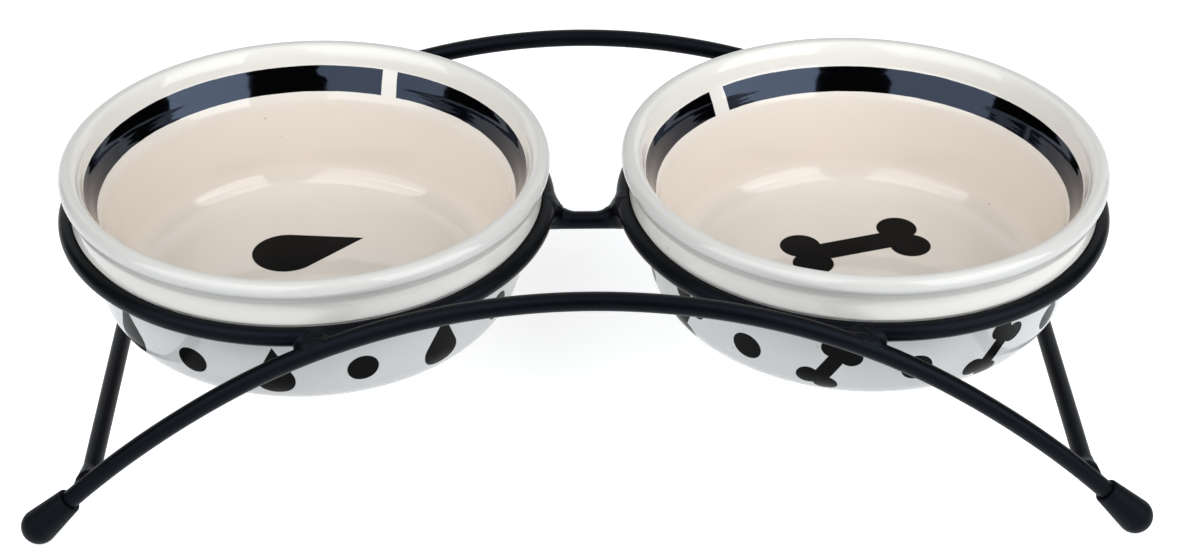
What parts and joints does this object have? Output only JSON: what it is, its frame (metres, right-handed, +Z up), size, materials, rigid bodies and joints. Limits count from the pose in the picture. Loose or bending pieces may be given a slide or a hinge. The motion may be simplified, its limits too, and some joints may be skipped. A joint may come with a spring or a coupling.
{
  "type": "double pet bowl",
  "caption": "Raised feeder for a pet: glazed stoneware bowls that lift out of the rings of a bowed black wire stand with rubber caps for feet.",
  "frame": {"origin": "on the floor, midway between the two bowls and between the front and rear arch", "axes": "+X from the left bowl to the right bowl, +Y from the front arch to the rear arch, +Z up"},
  "size_m": [0.3384, 0.1688, 0.0873],
  "materials": {
    "cream_glaze": "glossy cream glaze over stoneware, black glaze stripe inside",
    "black_powder_coat": "satin black powder coat on steel wire",
    "black_rubber": "matt black rubber"
  },
  "bodies": {
    "stand": {"left_ring": "black_powder_coat", "right_ring": "black_powder_coat", "front_arch": "black_powder_coat", "rear_arch": "black_powder_coat", "centre_bar": "black_powder_coat", "left_end_bar": "black_powder_coat", "right_end_bar": "black_powder_coat", "ring_welds": "black_powder_coat", "centre_bar_welds": "black_powder_coat", "end_bar_welds": "black_powder_coat", "front_left_foot": "black_rubber", "front_right_foot": "black_rubber", "rear_left_foot": "black_rubber", "rear_right_foot": "black_rubber"},
    "left_bowl": {"left_bowl": "cream_glaze"},
    "right_bowl": {"right_bowl": "cream_glaze"}
  },
  "joints": [
    {"name": "left_bowl_lift", "type": "slide", "parent": "stand", "child": "left_bowl", "axis": [0, 0, 1], "range_m": [0, 0.1]},
    {"name": "right_bowl_lift", "type": "slide", "parent": "stand", "child": "right_bowl", "axis": [0, 0, 1], "range_m": [0, 0.1]}
  ]
}
